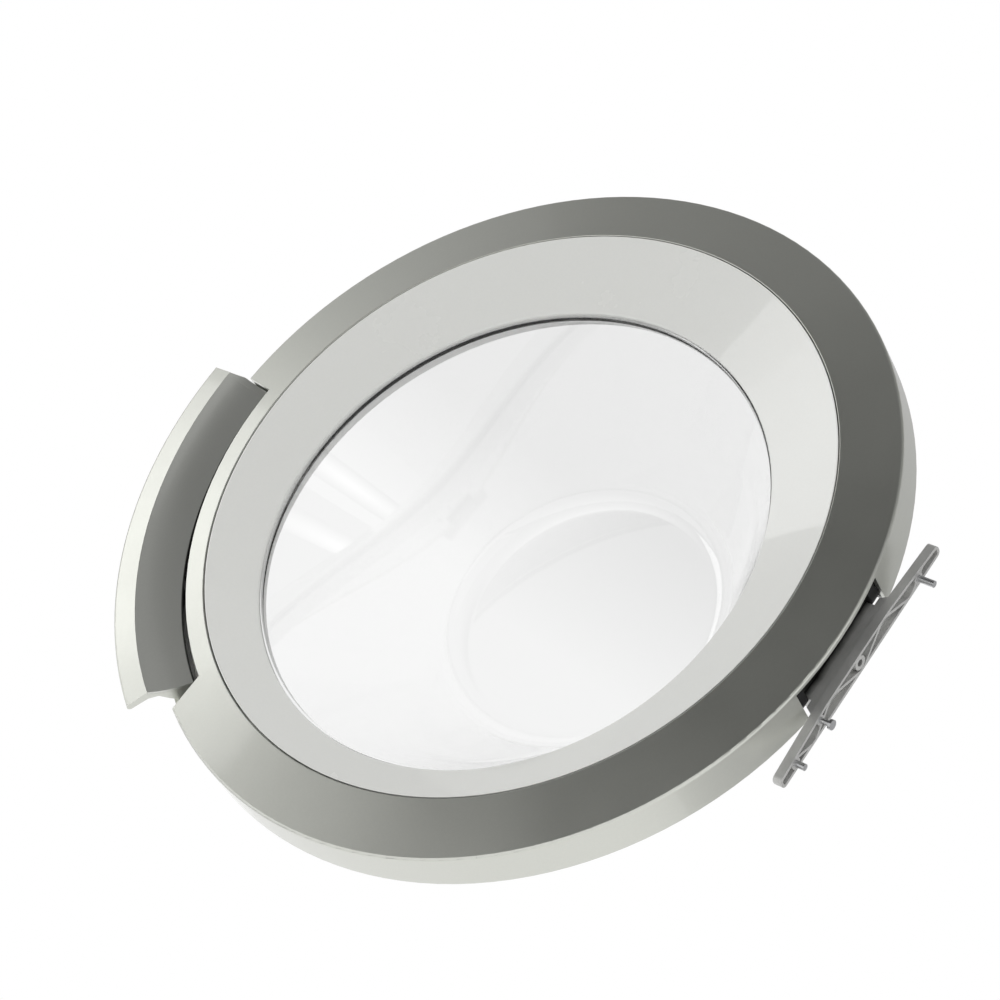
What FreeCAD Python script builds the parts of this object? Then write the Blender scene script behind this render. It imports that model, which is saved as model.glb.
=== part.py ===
"""Porthole door of a front-loading washing machine, hung on its cabinet bracket and opened at a right angle.

Lengths are millimetres and angles are degrees. Every piece is drawn in the door's own axes: the origin lies
on the axis of the round face, in the plane of the seam between the two face rings, +X points to the hinge,
+Y points backwards through the glass and +Z points up, along the hinge. Angles round the face are counted
from +X towards +Z. On export the origin moves to the fixing hole in the bracket's mounting face.
"""
import FreeCAD
import Part
import math
import os

# The two sizes that the whole door follows: its outer radius and its thickness at the rim.
skirt_radius = 233.2
skirt_back = 32.5

# Outer face ring: a shallow cone from the seam to the rim, then a skirt that runs back.
ring_width = 35.8
ring_wall = 2.6
rim_drop = 5.4
rim_round = 1.7
skirt_draft = 0.2
seam_round = 0.6
edge_bevel = 0.6
shelf_front = 8.0
shelf_width = 7.0
boss_radius = 4.6
boss_inset = 19.2
boss_angles = (48.0, 80.0, 112.0, 144.0, 262.0, 287.0, 312.0)
pilot_extra = 1.0

# Inner trim ring: a dish whose opening lies below the axis of the face.
seam_gap = 0.7
trim_proud = 0.3
trim_wall = 2.6
trim_land = 0.6
trim_width = 37.4
opening_drop = 12.4
opening_depth = 14.5
opening_round = 1.1

# Pressed glass bowl, deeper towards its top.
glass_wall = 4.5
flange_overlap = 12.0
flange_thickness = 5.0
mouth_inset = 1.0
mouth_round = 5.0
bowl_depth = 113.0
bowl_taper = 69.0
bottom_rise = 2.0
bottom_round = 17.0

# Rear frame, which closes the back and clamps the glass.
rear_wall = 2.8
rear_inset = 1.5
rear_gap = 0.6
collar_wall = 7.5
collar_gap = 3.5
bead_height = 2.4
bead_width = 5.0
bead_round = 1.4

# Self-tapping screws, used at the frame, the hinge plate and the latch.
screw_radius = 1.9
screw_head_radius = 4.0
screw_head_height = 2.2
screw_play = 0.06
frame_screw_length = 18.0
plate_screw_length = 8.0
latch_screw_length = 5.6

# Hinge: the pin is fixed in the bracket, and the bushes turn with the door.
hinge_inset = 17.2
hinge_rise = 10.5
pin_radius = 3.0
pin_fit = 0.03
pin_end = 2.3
barrel_radius = 7.2
barrel_half_length = 32.8
bush_radius = 11.0
bush_length = 7.0
bush_fit = 0.06
bush_gap = 0.4
bush_flat_gap = 0.6
spigot_radius = 4.2
slot_play = 0.4
slot_lead = 13.9
swing_gap = 0.5
ear_thickness = 2.5
ear_reach = 6.5
ear_lead = 9.0
ear_round = 6.0
plate_round = 4.0
plate_width = 23.0
plate_half_length = 60.0
plate_screw_inset = 6.5
plate_screw_heights = (50.0, 18.0, -18.0, -50.0)
clip_width = 2.6
clip_thickness = 1.0
clip_groove = 0.5

# Die-cast bracket with a ribbed mounting side, placed from the hinge's axis.
face_reach = 22.0
bar_thickness = 5.5
bar_half_length = 82.0
bar_back_reach = 14.5
bar_depth_middle = 12.0
bar_depth_end = 7.5
bar_end_round = 3.2
bar_inner_round = 1.3
web_front_reach = 3.0
shoulder_gap = 1.3
shoulder_run = 2.5
pocket_depth = 3.7
pocket_wall = 1.9
rib_width = 1.7
rib_stations = (-0.927, -0.61, -0.329, 0.0, 0.329, 0.61, 0.927)
fixing_reach = 8.0
fixing_hole_radius = 2.1
fixing_hole_depth = 11.0
fixing_boss_wall = 2.3
peg_radius = 2.0
peg_shank_radius = 1.6
peg_reach = 10.2
peg_seat = 3.4
peg_relief = 0.5
peg_boss_wall = 1.6
upper_peg_height = 60.5
upper_peg_length = 10.5
lower_peg_height = -67.0
lower_peg_length = 6.0
stud_reach = 6.6
stud_height = -40.0
stud_radius = 1.7
stud_length = 8.0
stud_head_radius = 3.0
stud_head_height = 1.8
stud_boss_wall = 1.4

# Pull handle: an arched lever in a notch of the outer ring, drawn at +X and turned to its place.
handle_angle = 207.0
handle_half_span = 29.2
notch_upper_play = 0.6
notch_lower_play = 0.95
notch_upper_splay = 7.0
notch_lower_splay = 22.0
notch_inset = 23.3
notch_lead = 2.0
lip_reach = 23.6
lip_width = 15.6
lip_front = -3.0
lip_thickness = 6.4
lip_neck = 5.4
lip_round = 2.0
neck_lead = 2.0
neck_lag = 4.0
neck_drop = 2.2
neck_round = 3.0
heel_inset = 0.2
heel_width = 4.0
heel_rise = 5.0
heel_round = 2.5
grip_inset = 18.3
grip_lead = 6.0
grip_round = 0.8
scoop_start = 0.35
scoop_depth = 8.3
scoop_sag = 1.8
inlay_thickness = 1.6
inlay_gap = 0.1
lever_inset = 38.2
lever_pin_radius = 2.5
lever_pin_fit = 0.05
lever_eye_wall = 2.9
lever_arm_inner = 33.0
lever_arm_width = 6.0
arm_half_width = 3.8
arm_root_reach = 20.8
arm_root_width = 8.0
arm_root_rise = 3.4
lug_gap = 1.0
lug_width = 5.0
lug_half_height = 5.5
lug_round = 4.5
pin_overrun = 0.8
finger_reach = 28.5
finger_half_width = 2.5
finger_side = 3.0
finger_root = 1.0
finger_thickness = 4.0
finger_peg_radius = 1.9
finger_peg_lag = 3.1

# Latch: a steel hook on a sheet bracket behind the handle, returned by a torsion spring.
hook_inset = 24.7
hook_thickness = 4.0
hook_eye_wall = 2.9
hook_half_width = 4.0
hook_length = 41.0
hook_nose_length = 11.0
hook_nose_depth = 7.5
hook_nose_height = 3.5
hook_round = 1.2
hook_tip_round = 2.5
hook_tip_inset = 1.0
hook_tail_reach = 18.5
hook_tail_lead = 2.4
hook_tail_width = 2.9
latch_pin_radius = 2.5
latch_pin_fit = 0.05
latch_head_wall = 1.4
latch_head_height = 1.6
latch_sheet = 1.5
latch_ear_gap = 1.6
latch_ear_half_width = 6.0
latch_ear_round = 4.5
latch_base_round = 2.0
latch_base_reach = 11.9
latch_base_lag = 21.5
latch_base_half_length = 15.5
latch_slot_lag = 7.0
latch_slot_reach = 8.5
latch_slot_half_width = 3.4
latch_screw_lag = 17.0
latch_screw_side = 9.0
coil_radius = 3.5
coil_wire_radius = 0.6
coil_pitch = 1.4
coil_turns = 4.25
coil_start = 6.8
coil_leg_length = 8.7
coil_leg_side = -1.5
coil_leg_gap = 0.3

# Radii and depths of the face, the glass and the rear frame.
rim_radius = skirt_radius - skirt_draft
seam_radius = skirt_radius - ring_width
boss_circle = skirt_radius - boss_inset
cone_slope = rim_drop / (rim_radius - seam_radius)
cone_wall = ring_wall * math.hypot(1.0, cone_slope)
skirt_slope = skirt_draft / (skirt_back - rim_drop)
trim_radius = seam_radius - seam_gap
opening_radius = seam_radius - trim_width
flange_radius = opening_radius + flange_overlap
mouth_radius = opening_radius - mouth_inset
bottom_radius = mouth_radius - bowl_taper
glass_front = opening_depth + trim_wall
glass_back = glass_front + flange_thickness
rear_back = skirt_back - rear_inset
rear_front = rear_back - rear_wall
far = 2 * skirt_radius

# Places of the hinge and of the bracket.
hinge_x = skirt_radius - hinge_inset
hinge_y = skirt_back - hinge_rise
bush_half_end = barrel_half_length + bush_gap + bush_length
slot_half_length = bush_half_end + slot_play
slot_front = hinge_y - slot_lead
ear_front = hinge_y - ear_lead
clip_low = bush_half_end + ear_thickness + 2 * bush_gap
face_x = hinge_x + face_reach
bar_near = face_x - bar_thickness
bar_back = hinge_y + bar_back_reach
bar_front_middle = bar_back - bar_depth_middle
bar_front_end = bar_back - bar_depth_end
web_front = hinge_y + web_front_reach
shoulder_x = hinge_x + bush_radius + shoulder_gap
fixing_y = hinge_y + fixing_reach
peg_y = hinge_y + peg_reach
stud_y = hinge_y + stud_reach
pegs = ((upper_peg_height, upper_peg_length), (lower_peg_height, lower_peg_length))
rear_slot_x = hinge_x - bar_back_reach - swing_gap
plate_web_x = rear_slot_x - ear_thickness
plate_inner = rear_slot_x - plate_width
plate_screw_places = [(plate_inner + plate_screw_inset, height) for height in plate_screw_heights]

# Places of the handle and of the latch.
lever_x = skirt_radius - lever_inset
lever_y = hinge_y
lever_eye_radius = lever_pin_radius + lever_eye_wall
notch_radius = skirt_radius - notch_inset
notch_upper_angle = handle_half_span + notch_upper_play
notch_lower_angle = handle_half_span + notch_lower_play
notch_back = lever_y - notch_lead
lip_outer = skirt_radius + lip_reach
lip_inner = lip_outer - lip_width
heel_outer = skirt_radius - heel_inset
grip_inner = skirt_radius - grip_inset
grip_back = lever_y - grip_lead
scoop_inner = grip_inner + scoop_start
finger_x = lever_x + finger_reach
finger_peg_y = lever_y + finger_peg_lag
hook_x = skirt_radius - hook_inset
hook_y = hinge_y
hook_eye_radius = latch_pin_radius + hook_eye_wall
hook_tip = hook_y + hook_length
hook_nose_front = hook_tip - hook_nose_length
hook_tail_end = hook_x + hook_tail_reach
hook_tail_front = hook_y - hook_tail_lead
latch_slot_inner = hook_x - latch_slot_lag
latch_slot_outer = hook_x + latch_slot_reach
latch_screw_x = hook_x - latch_screw_lag
coil_end = coil_start + coil_pitch * coil_turns


def vec(x, y, z):
    """Point or direction in the door's axes."""
    return FreeCAD.Vector(x, y, z)


def rounded_face(corners, place):
    """Face inside a closed outline of (a, b, round) corners; place puts (a, b) in space."""
    points = [FreeCAD.Vector(a, b, 0) for a, b, _ in corners]
    starts, middles, ends = [], [], []
    for index, (_, _, radius) in enumerate(corners):
        corner = points[index]
        towards_last = (points[index - 1] - corner).normalize()
        towards_next = (points[(index + 1) % len(points)] - corner).normalize()
        half_angle = towards_last.getAngle(towards_next) / 2
        run = radius / math.tan(half_angle)
        inward = (towards_last + towards_next).normalize() if radius else vec(0, 0, 0)
        starts.append(corner + towards_last * run)
        ends.append(corner + towards_next * run)
        middles.append(corner + inward * (radius / math.sin(half_angle) - radius))
    edges = []
    for index, (_, _, radius) in enumerate(corners):
        if radius:
            arc = [place(p.x, p.y) for p in (starts[index], middles[index], ends[index])]
            edges.append(Part.Arc(*arc).toShape())
        following = starts[(index + 1) % len(points)]
        edges.append(Part.makeLine(place(ends[index].x, ends[index].y), place(following.x, following.y)))
    return Part.Face(Part.Wire(edges))


def turned(shape, degrees):
    """Copy of a shape turned round the door's axis."""
    copy = shape.copy()
    copy.rotate(vec(0, 0, 0), vec(0, -1, 0), degrees)
    return copy


def revolved(corners, start=0.0, span=360.0):
    """Solid swept round the door's axis by a section of (radius, depth, round) corners."""
    face = turned(rounded_face(corners, lambda r, y: vec(r, y, 0)), start)
    return face.revolve(vec(0, 0, 0), vec(0, -1, 0), span)


def prism_z(corners, low, high):
    """Solid with an (x, y, round) outline between two heights."""
    return rounded_face(corners, lambda x, y: vec(x, y, low)).extrude(vec(0, 0, high - low))


def prism_y(corners, front, back):
    """Solid with an (x, z, round) outline between two depths."""
    return rounded_face(corners, lambda x, z: vec(x, front, z)).extrude(vec(0, back - front, 0))


def prism_x(corners, near, outer):
    """Solid with a (y, z, round) outline between two distances from the door's axis."""
    return rounded_face(corners, lambda y, z: vec(near, y, z)).extrude(vec(outer - near, 0, 0))


def box(low, high):
    """Block between two opposite corners."""
    return Part.makeBox(high[0] - low[0], high[1] - low[1], high[2] - low[2], vec(*low))


def rod_z(x, y, radius, low, high):
    """Round bar parallel to the hinge."""
    return Part.makeCylinder(radius, high - low, vec(x, y, low), vec(0, 0, 1))


def rod_y(x, z, radius, front, back):
    """Round bar parallel to the door's axis."""
    return Part.makeCylinder(radius, back - front, vec(x, front, z), vec(0, 1, 0))


def rod_x(y, z, radius, near, outer):
    """Round bar that points out of the mounting face."""
    return Part.makeCylinder(radius, outer - near, vec(near, y, z), vec(1, 0, 0))


def slanted_cone(front_circle, back_circle):
    """Solid between two circles, each given as (radius, depth, height of its centre)."""
    wires = []
    for radius, depth, height in (front_circle, back_circle):
        circle = Part.makeCircle(radius, vec(0, depth, height), vec(0, 1, 0))
        wires.append(Part.Wire(circle))
    return Part.makeLoft(wires, True, True)


def fillet_circle(shape, depth, radius, fillet):
    """Shape with its circular edge of that depth and radius rounded."""
    edges = [
        edge for edge in shape.Edges
        if abs(edge.BoundBox.YMin - depth) < 0.01 and abs(edge.BoundBox.YMax - depth) < 0.01
        and abs(edge.BoundBox.XLength - 2 * radius) < 0.02
    ]
    return shape.makeFillet(fillet, edges)


def on_face(radius, degrees):
    """(x, z) of a point on the face, by its radius and angle."""
    return radius * math.cos(math.radians(degrees)), radius * math.sin(math.radians(degrees))


def cone_depth(radius):
    """Depth of the outer ring's front at a radius."""
    return (radius - seam_radius) * cone_slope


def skirt_inside(depth):
    """Inner radius of the skirt at a depth."""
    return rim_radius + (depth - rim_drop) * skirt_slope - ring_wall


def screw(x, z, seat, length):
    """Pan-head screw with its head behind a seat, and its shank running forward."""
    head = rod_y(x, z, screw_head_radius, seat, seat + screw_head_height)
    rim = [edge for edge in head.Edges if edge.BoundBox.YMin > seat + screw_head_height / 2]
    head = head.makeFillet(screw_head_height / 2, rim)
    return head.fuse(rod_y(x, z, screw_radius, seat - length, seat))


def notch_cutter():
    """Space for the handle: an arc with ends that splay outwards, at +X."""
    reach = 2 * (skirt_radius - notch_radius)
    start_x, start_z = on_face(notch_radius, -notch_upper_angle)
    end_x, end_z = on_face(notch_radius, notch_lower_angle)
    start_out_x, start_out_z = on_face(reach, -notch_upper_angle - notch_upper_splay)
    end_out_x, end_out_z = on_face(reach, notch_lower_angle + notch_lower_splay)
    corners = [
        vec(start_x, -far / 2, start_z),
        vec(notch_radius, -far / 2, 0),
        vec(end_x, -far / 2, end_z),
        vec(end_x + end_out_x, -far / 2, end_z + end_out_z),
        vec(far, -far / 2, end_z + end_out_z),
        vec(far, -far / 2, start_z + start_out_z),
        vec(start_x + start_out_x, -far / 2, start_z + start_out_z),
    ]
    edges = [Part.Arc(*corners[:3]).toShape()]
    for first, second in zip(corners[2:], corners[3:] + corners[:1]):
        edges.append(Part.makeLine(first, second))
    return Part.Face(Part.Wire(edges)).extrude(vec(0, notch_back + far / 2, 0))


def outer_ring():
    """Silver face ring with its skirt, the shelf that carries the trim, screw bosses and cut-outs."""
    inside = seam_radius + ring_wall
    corner = rim_radius - ring_wall
    shelf_back = shelf_front + ring_wall
    ring = revolved([
        (seam_radius, 0, seam_round),
        (rim_radius, rim_drop, rim_round),
        (skirt_radius, skirt_back - edge_bevel, 0),
        (skirt_radius - edge_bevel, skirt_back, 0),
        (skirt_radius - ring_wall, skirt_back, 0),
        (corner, cone_depth(corner) + cone_wall, 0),
        (inside, cone_depth(inside) + cone_wall, 0),
        (inside, shelf_back, 0),
        (seam_radius - shelf_width, shelf_back, 0),
        (seam_radius - shelf_width, shelf_front, 0),
        (seam_radius, shelf_front, 0),
    ])
    pilot_end = rear_back - frame_screw_length - pilot_extra
    for angle in boss_angles:
        x, z = on_face(boss_circle, angle)
        ring = ring.fuse(rod_y(x, z, boss_radius, cone_depth(boss_circle) + ring_wall / 2, rear_front))
        ring = ring.cut(rod_y(x, z, screw_radius + screw_play, pilot_end, rear_front))
    ring = ring.cut(turned(notch_cutter(), handle_angle))
    slot_low = (hinge_x, slot_front, -slot_half_length)
    return ring.cut(box(slot_low, (far, far, slot_half_length)))


def inner_trim_ring():
    """Bright dish between the seam and the glass, with a rim that stands on the shelf."""
    back = trim_proud + trim_wall
    dish = slanted_cone(
        (trim_radius, back, 0), (opening_radius + trim_wall, glass_front, -opening_drop))
    dish = dish.fuse(rod_y(0, 0, trim_radius, trim_proud, back))
    hollow = slanted_cone(
        (trim_radius - trim_land, trim_proud, 0), (opening_radius, opening_depth, -opening_drop))
    hollow = hollow.fuse(rod_y(0, -opening_drop, opening_radius, opening_depth, glass_front))
    dish = dish.cut(hollow)
    rim = rod_y(0, 0, trim_radius, back, shelf_front).cut(
        rod_y(0, 0, trim_radius - trim_wall, back, shelf_front))
    dish = dish.fuse(rim).removeSplitter()
    return fillet_circle(dish, opening_depth, opening_radius, opening_round)


def glass_bowl():
    """Clear pressed bowl with a clamped flange and a slanted, rounded bottom."""
    bottom = glass_front + bowl_depth
    hollow = slanted_cone(
        (mouth_radius, glass_front, -opening_drop), (bottom_radius, bottom, bottom_rise))
    hollow = fillet_circle(hollow, bottom, bottom_radius, bottom_round)
    back = bottom + glass_wall
    stretch = glass_wall / bowl_depth
    back_radius = bottom_radius + glass_wall - bowl_taper * stretch
    back_rise = bottom_rise + (opening_drop + bottom_rise) * stretch
    outside = slanted_cone(
        (mouth_radius + glass_wall, glass_front, -opening_drop), (back_radius, back, back_rise))
    outside = fillet_circle(outside, back, back_radius, bottom_round + glass_wall)
    flange = rod_y(0, -opening_drop, flange_radius, glass_front, glass_back)
    bowl = flange.fuse(outside).cut(hollow).removeSplitter()
    return fillet_circle(bowl, glass_front, mouth_radius, mouth_round)


def pin_lugs():
    """Two lugs of the rear frame that carry the handle's pin, at +X."""
    inner = lever_arm_inner + lever_arm_width + lug_gap
    outline = [
        (lever_x - lug_half_height, rear_front, 0),
        (lever_x - lug_half_height, lever_y - lug_half_height, lug_round),
        (lever_x + lug_half_height, lever_y - lug_half_height, lug_round),
        (lever_x + lug_half_height, rear_front, 0),
    ]
    upper = prism_z(outline, inner, inner + lug_width)
    lower = prism_z(outline, -inner - lug_width, -inner)
    bore = rod_z(lever_x, lever_y, lever_pin_radius + lever_pin_fit, -far, far)
    return [upper.cut(bore), lower.cut(bore)]


def rear_frame():
    """Back plate of the door with the collar that clamps the glass, pin lugs, holes and slots."""
    rear_radius = skirt_inside(rear_front) - rear_gap
    collar_inner = mouth_radius + glass_wall + collar_gap
    collar_outer = collar_inner + collar_wall
    plate = revolved([
        (collar_inner / 2, rear_front, 0),
        (rear_radius, rear_front, 0),
        (rear_radius, rear_back - edge_bevel, 0),
        (rear_radius - edge_bevel, rear_back, 0),
        (collar_inner / 2, rear_back, 0),
    ])
    plate = plate.fuse(rod_y(0, -opening_drop, collar_outer, glass_back, rear_back))
    bead = rod_y(0, -opening_drop, collar_inner + bead_width, rear_front, rear_back + bead_height)
    bead = fillet_circle(bead, rear_back + bead_height, collar_inner + bead_width, bead_round)
    plate = plate.fuse(bead).cut(rod_y(0, -opening_drop, collar_inner, 0, far))
    for lug in pin_lugs():
        plate = plate.fuse(turned(lug, handle_angle))
    for x, z in frame_screw_places() + plate_screw_places:
        plate = plate.cut(rod_y(x, z, screw_radius + screw_play, rear_front, rear_back))
    for x, z in latch_screw_places():
        plate = plate.cut(turned(rod_y(x, z, screw_radius + screw_play, rear_front, rear_back), handle_angle))
    hook_way = box(
        (latch_slot_inner, rear_front, -latch_slot_half_width),
        (latch_slot_outer, rear_back, latch_slot_half_width))
    plate = plate.cut(turned(hook_way, handle_angle))
    slot = box((rear_slot_x, 0, -slot_half_length), (far, far, slot_half_length))
    return plate.cut(slot).removeSplitter()


def frame_screw_places():
    """(x, z) of the screws that hold the rear frame to the outer ring."""
    return [on_face(boss_circle, angle) for angle in boss_angles]


def frame_screws():
    """Screws round the rear frame."""
    return Part.makeCompound([screw(x, z, rear_back, frame_screw_length) for x, z in frame_screw_places()])


def hinge_plate():
    """Bent steel plate inside the door, with two ears that hold the bushes."""
    flange = prism_y([
        (plate_inner, -plate_half_length, plate_round),
        (rear_slot_x, -plate_half_length, plate_round),
        (rear_slot_x, plate_half_length, plate_round),
        (plate_inner, plate_half_length, plate_round),
    ], rear_front - ear_thickness, rear_front)
    ear_end = bush_half_end + ear_thickness
    plate = flange.fuse(box((plate_web_x, ear_front, -ear_end), (rear_slot_x, rear_front, ear_end)))
    outline = [
        (plate_web_x, ear_front, plate_round),
        (hinge_x + ear_reach, ear_front, ear_round),
        (hinge_x + ear_reach, rear_front, plate_round),
        (plate_web_x, rear_front, 0),
    ]
    for low in (bush_half_end, -ear_end):
        plate = plate.fuse(prism_z(outline, low, low + ear_thickness))
    plate = plate.cut(rod_z(hinge_x, hinge_y, spigot_radius + pin_fit, -far, far))
    for x, z in plate_screw_places:
        plate = plate.cut(rod_y(x, z, screw_radius + screw_play, 0, far))
    return plate.removeSplitter()


def hinge_plate_screws():
    """Screws that hold the hinge plate to the rear frame."""
    return Part.makeCompound([screw(x, z, rear_back, plate_screw_length) for x, z in plate_screw_places])


def hinge_bush(side):
    """Black bush between barrel and ear, flat where the ring passes; side is 1 (upper) or -1 (lower)."""
    inner = barrel_half_length + bush_gap
    tip = bush_half_end + ear_thickness + bush_gap
    body = rod_z(hinge_x, hinge_y, bush_radius, inner, bush_half_end)
    body = body.cut(box((0, 0, 0), (far, slot_front + bush_flat_gap, far)))
    body = body.fuse(rod_z(hinge_x, hinge_y, spigot_radius, bush_half_end, tip))
    body = body.cut(rod_z(hinge_x, hinge_y, pin_radius + bush_fit, 0, far))
    if side < 0:
        body = body.mirror(vec(0, 0, 0), vec(0, 0, 1))
    return body


def hinge_pin():
    """Steel pin through the bracket and both bushes, grooved near each end."""
    half_length = clip_low + clip_thickness + pin_end
    pin = rod_z(hinge_x, hinge_y, pin_radius, -half_length, half_length)
    for low in (clip_low, -clip_low - clip_thickness):
        high = low + clip_thickness
        core = rod_z(hinge_x, hinge_y, pin_radius - clip_groove, low, high)
        pin = pin.cut(rod_z(hinge_x, hinge_y, far, low, high).cut(core))
    return pin


def hinge_pin_clips():
    """Retaining clips in the grooves of the hinge pin."""
    clips = []
    inside = pin_radius - clip_groove
    outside = pin_radius + clip_width
    for low in (clip_low, -clip_low - clip_thickness):
        high = low + clip_thickness
        clip = rod_z(hinge_x, hinge_y, outside, low, high)
        clip = clip.cut(rod_z(hinge_x, hinge_y, inside + pin_fit, low, high))
        mouth = box((hinge_x - far, hinge_y - inside, low), (hinge_x, hinge_y + inside, high))
        clips.append(clip.cut(mouth))
    return Part.makeCompound(clips)


def bar_outline(inset, rounding):
    """Outline of the bracket's mounting side, (y, z, round), drawn in by an inset."""
    back = bar_back - inset
    end = bar_half_length - inset
    return [
        (back, -end, rounding),
        (back, end, rounding),
        (bar_front_end + inset, end, rounding),
        (bar_front_middle + inset, barrel_half_length, 0),
        (bar_front_middle + inset, -barrel_half_length, 0),
        (bar_front_end + inset, -end, rounding),
    ]


def rib(first, second, near):
    """Straight rib of the mounting side between two (y, z) points."""
    along = vec(second[0] - first[0], second[1] - first[1], 0).normalize()
    across = vec(-along.y, along.x, 0) * (rib_width / 2)
    corners = [
        (first[0] + across.x, first[1] + across.y, 0),
        (second[0] + across.x, second[1] + across.y, 0),
        (second[0] - across.x, second[1] - across.y, 0),
        (first[0] - across.x, first[1] - across.y, 0),
    ]
    return prism_x(corners, near, face_x)


def hinge_bracket():
    """Die-cast bracket: a long bar with a ribbed mounting side, and a web that carries the pin's barrel."""
    bar = prism_x(bar_outline(0, bar_end_round), bar_near, face_x)
    floor = face_x - pocket_depth
    pocket = prism_x(bar_outline(pocket_wall, bar_inner_round), floor, face_x)
    edges = (bar_front_middle, bar_back)
    for index, (low, high) in enumerate(zip(rib_stations, rib_stations[1:])):
        first = (edges[index % 2], low * bar_half_length)
        second = (edges[(index + 1) % 2], high * bar_half_length)
        pocket = pocket.cut(rib(first, second, floor))
    bosses = [
        (fixing_y, 0.0, fixing_hole_radius + fixing_boss_wall),
        (stud_y, stud_height, stud_radius + stud_boss_wall),
    ]
    bosses += [(peg_y, height, peg_radius + peg_boss_wall) for height, _ in pegs]
    for y, z, radius in bosses:
        pocket = pocket.cut(rod_x(y, z, radius, floor, face_x))
    web = box((hinge_x, web_front, -barrel_half_length), (bar_near, bar_back, barrel_half_length))
    shoulders = prism_y([
        (shoulder_x, shoulder_run - bush_half_end, 0),
        (bar_near, -bush_half_end, 0),
        (bar_near, bush_half_end, 0),
        (shoulder_x, bush_half_end - shoulder_run, 0),
    ], web_front, bar_back)
    barrel = rod_z(hinge_x, hinge_y, barrel_radius, -barrel_half_length, barrel_half_length)
    bracket = bar.cut(pocket).fuse([web, shoulders, barrel])
    holes = [
        rod_z(hinge_x, hinge_y, pin_radius + pin_fit, -far, far),
        rod_x(fixing_y, 0, fixing_hole_radius, face_x - fixing_hole_depth, face_x),
        rod_x(stud_y, stud_height, stud_radius + pin_fit, face_x - peg_seat, face_x),
    ]
    for height, _ in pegs:
        holes.append(rod_x(peg_y, height, peg_shank_radius + pin_fit, face_x - peg_seat, face_x))
        holes.append(rod_x(peg_y, height, peg_radius + pin_fit, face_x - peg_relief, face_x))
    return bracket.cut(holes).removeSplitter()


def bracket_pegs():
    """Locating pegs that stand out of the mounting side, each with a thinner shank in the casting."""
    solids = []
    for height, length in pegs:
        shank = rod_x(peg_y, height, peg_shank_radius, face_x - peg_seat, face_x)
        solids.append(shank.fuse(rod_x(peg_y, height, peg_radius, face_x, face_x + length)))
    return Part.makeCompound(solids)


def bracket_stud():
    """Headed stud by which the bracket hangs in the cabinet until it is screwed."""
    shank = rod_x(stud_y, stud_height, stud_radius, face_x - peg_seat, face_x + stud_length)
    head_near = face_x + stud_length - stud_head_height
    return shank.fuse(rod_x(stud_y, stud_height, stud_head_radius, head_near, face_x + stud_length))


def scoop_points(offset):
    """Ends and middle of the scoop's arc in section, moved back by an offset."""
    start = vec(scoop_inner, scoop_depth, 0)
    end = vec(lip_inner, lip_front, 0)
    along = (end - start).normalize()
    back = vec(-along.y, along.x, 0)
    middle = (start + end) * 0.5 + back * scoop_sag
    return [point + back * offset for point in (start, middle, end)]


def arched(edges):
    """Solid swept along the handle by a closed section of edges."""
    face = turned(Part.Face(Part.Wire(edges)), -handle_half_span)
    return face.revolve(vec(0, 0, 0), vec(0, -1, 0), 2 * handle_half_span)


def polyline(points):
    """Straight edges through a row of points."""
    return [Part.makeLine(first, second) for first, second in zip(points, points[1:])]


def handle_inlay():
    """Grey inlay in the hollow face of the handle."""
    front = scoop_points(0)
    back = scoop_points(inlay_thickness)
    edges = [Part.Arc(*front).toShape(), Part.makeLine(front[2], back[2])]
    edges += [Part.Arc(*reversed(back)).toShape(), Part.makeLine(back[0], front[0])]
    return turned(arched(edges), handle_angle)


def scoop_pocket():
    """Seat of the inlay, and all that lies in front of it, as a cutter at +X."""
    seat = scoop_points(inlay_thickness + inlay_gap)
    along = (seat[2] - seat[0]).normalize()
    forward = vec(along.y, -along.x, 0) * (2 * lip_thickness)
    inner = seat[0] - along * inlay_gap
    outer = seat[2] + along * inlay_gap
    outline = [seat[2], outer, outer + forward, inner + forward, inner, seat[0]]
    return arched([Part.Arc(*seat).toShape()] + polyline(outline))


def grip_arm(low):
    """Arm of the handle with the eye for its pin, from a height upwards, at +X."""
    outline = [
        (lever_x - arm_half_width, lever_y - arm_half_width, 0),
        (lever_x + arm_root_reach, grip_back - arm_root_rise, 0),
        (lever_x + arm_root_reach + arm_root_width, grip_back, 0),
        (lever_x + arm_half_width, lever_y + arm_half_width, 0),
    ]
    arm = prism_z(outline, low, low + lever_arm_width)
    return arm.fuse(rod_z(lever_x, lever_y, lever_eye_radius, low, low + lever_arm_width))


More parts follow.
